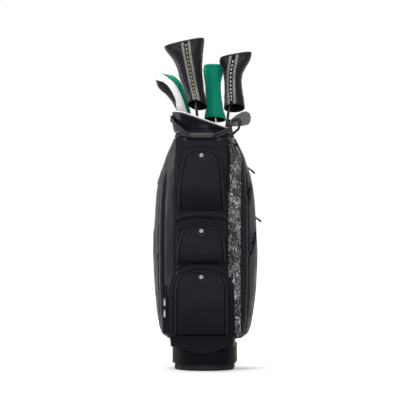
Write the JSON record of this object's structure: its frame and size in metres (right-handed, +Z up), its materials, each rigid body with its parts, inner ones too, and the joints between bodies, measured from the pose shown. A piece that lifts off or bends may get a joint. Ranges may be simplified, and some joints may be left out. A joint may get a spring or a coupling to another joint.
{
  "type": "golf bag",
  "caption": "Free-standing golf caddie bag with moulded base and cuff, zipped pockets, lift handle, shoulder strap and clubs in headcovers that slide out of their lanes.",
  "frame": {"origin": "centre of the moulded base, on the surface it stands on", "axes": "+Z up along the bag, pockets face -Y, +X to the right as seen from the pocket side"},
  "size_m": [0.3916, 0.346, 1.186],
  "materials": {
    "base_plastic": "satin moulded",
    "rubber_feet": "matt",
    "foam": "closed-cell foam",
    "steel": "satin",
    "liner": "matt",
    "rods": "matt",
    "bag_fabric": "satin coated weave",
    "stripe_fabric": null,
    "zip": "coil zip",
    "stud_white": "gloss",
    "pull_black": "satin",
    "pull_silver": "satin",
    "cuff_plastic": "satin moulded",
    "edging_light": "satin",
    "webbing": "woven",
    "grip_grey": "padded sleeve",
    "divider_fabric": "brushed",
    "shaft_steel": "polished",
    "shaft_black": "carbon, gloss",
    "grip_rubber": "textured",
    "head_black": "gloss",
    "head_steel": "satin",
    "cover_black": "smooth grain",
    "cover_green": "smooth grain",
    "cover_tricolour": "smooth grain"
  },
  "bodies": {
    "bag": {"base_foot": "base_plastic", "base_collar": "base_plastic", "rear_feet": "rubber_feet", "floor_pad": "foam", "base_screws": "steel", "body_tube": "liner", "support_rods": "rods", "front_panel": "bag_fabric", "spine_pad": "bag_fabric", "stripe_panel": "stripe_fabric", "right_pocket": "bag_fabric", "left_pocket": "bag_fabric", "upper_pocket": "bag_fabric", "middle_pocket": "bag_fabric", "lower_pocket": "bag_fabric", "zip_tracks": "zip", "pocket_studs": "stud_white", "top_cuff": "cuff_plastic", "rim_edging": "edging_light", "cuff_handles": "cuff_plastic", "divider_grid": "cuff_plastic", "divider_sheets": "divider_fabric", "handle_tabs": "webbing", "handle_rivets": "steel", "towel_tab": "webbing", "strap_pad": "bag_fabric", "strap_buckle": "pull_black", "shoulder_strap": "webbing", "strap_anchors": "webbing"},
    "lift_handle": {"handle_strap": "webbing", "handle_grip": "grip_grey"},
    "towel_ring": {"towel_ring": "pull_black"},
    "upper_pull": {"upper_pull_ring": "pull_black"},
    "middle_pull": {"middle_pull_ring": "pull_black"},
    "lower_pull": {"lower_pull_ring": "pull_black"},
    "left_slider_top": {"left_slider_top": "pull_black"},
    "left_tab_top": {"left_tab_top": "pull_silver"},
    "left_slider_low": {"left_slider_low": "pull_black"},
    "left_tab_low": {"left_tab_low": "pull_silver"},
    "right_tab_top": {"right_tab_top": "pull_black"},
    "right_tab_low": {"right_tab_low": "pull_black"},
    "driver": {"driver_shaft": "shaft_black", "driver_grip": "grip_rubber", "driver_head": "head_black", "driver_cover": "cover_black"},
    "fairway": {"fairway_shaft": "shaft_black", "fairway_grip": "grip_rubber", "fairway_head": "head_black", "fairway_cover": "cover_black"},
    "utility": {"utility_shaft": "shaft_steel", "utility_grip": "grip_rubber", "utility_head": "head_black", "utility_cover": "cover_green"},
    "hybrid": {"hybrid_shaft": "shaft_steel", "hybrid_grip": "grip_rubber", "hybrid_head": "head_black", "hybrid_cover": "cover_tricolour"},
    "wedge": {"wedge_shaft": "shaft_steel", "wedge_grip": "grip_rubber", "wedge_head": "head_steel"}
  },
  "joints": [
    {"name": "lift_handle_swing", "type": "hinge", "parent": "bag", "child": "lift_handle", "pos_m": [-0.1145, -0.041, 0.898], "axis": [-0.9857, 0.0419, 0.1631], "range_deg": [0, 30]},
    {"name": "towel_ring_swing", "type": "hinge", "parent": "bag", "child": "towel_ring", "pos_m": [0.11795, -0.0414, 0.803], "axis": [-0.7141, -0.7, 0], "range_deg": [0, 75]},
    {"name": "upper_pull_swing", "type": "hinge", "parent": "bag", "child": "upper_pull", "pos_m": [0, -0.12856, 0.76442], "axis": [0, -0.9843, 0.1767], "range_deg": [-80, 80]},
    {"name": "middle_pull_swing", "type": "hinge", "parent": "bag", "child": "middle_pull", "pos_m": [0, -0.13539, 0.49664], "axis": [0, -0.9641, 0.2656], "range_deg": [-80, 80]},
    {"name": "lower_pull_swing", "type": "hinge", "parent": "bag", "child": "lower_pull", "pos_m": [0, -0.1386, 0.33368], "axis": [0, -0.9594, 0.2822], "range_deg": [-80, 80]},
    {"name": "left_slider_top_travel", "type": "slide", "parent": "bag", "child": "left_slider_top", "axis": [0, 0, 1], "range_m": [0, 0.034]},
    {"name": "left_tab_top_swing", "type": "hinge", "parent": "left_slider_top", "child": "left_tab_top", "pos_m": [-0.1355, -0.08292, 0.254], "axis": [0.866, -0.5, 0], "range_deg": [-85, 0]},
    {"name": "left_slider_low_travel", "type": "slide", "parent": "bag", "child": "left_slider_low", "axis": [0, 0, -1], "range_m": [0, 0.07]},
    {"name": "left_tab_low_swing", "type": "hinge", "parent": "left_slider_low", "child": "left_tab_low", "pos_m": [-0.1355, -0.08292, 0.214], "axis": [0.866, -0.5, 0], "range_deg": [-85, 0]},
    {"name": "right_tab_top_swing", "type": "hinge", "parent": "bag", "child": "right_tab_top", "pos_m": [0.15933, 0.07, 0.72], "axis": [0, 1, 0], "range_deg": [-90, 15]},
    {"name": "right_tab_low_swing", "type": "hinge", "parent": "bag", "child": "right_tab_low", "pos_m": [0.18667, 0.062, 0.541], "axis": [0, 1, 0], "range_deg": [-90, 15]},
    {"name": "driver_draw", "type": "slide", "parent": "bag", "child": "driver", "axis": [-0.0941, 0, 0.9956], "range_m": [0, 0.9]},
    {"name": "fairway_draw", "type": "slide", "parent": "bag", "child": "fairway", "axis": [0.1392, 0, 0.9903], "range_m": [0, 0.9]},
    {"name": "utility_draw", "type": "slide", "parent": "bag", "child": "utility", "axis": [-0.0262, 0, 0.9997], "range_m": [0, 0.9]},
    {"name": "hybrid_draw", "type": "slide", "parent": "bag", "child": "hybrid", "axis": [-0.1132, 0, 0.9936], "range_m": [0, 0.9]},
    {"name": "wedge_draw", "type": "slide", "parent": "bag", "child": "wedge", "axis": [0.1219, 0, 0.9925], "range_m": [0, 0.9]}
  ]
}
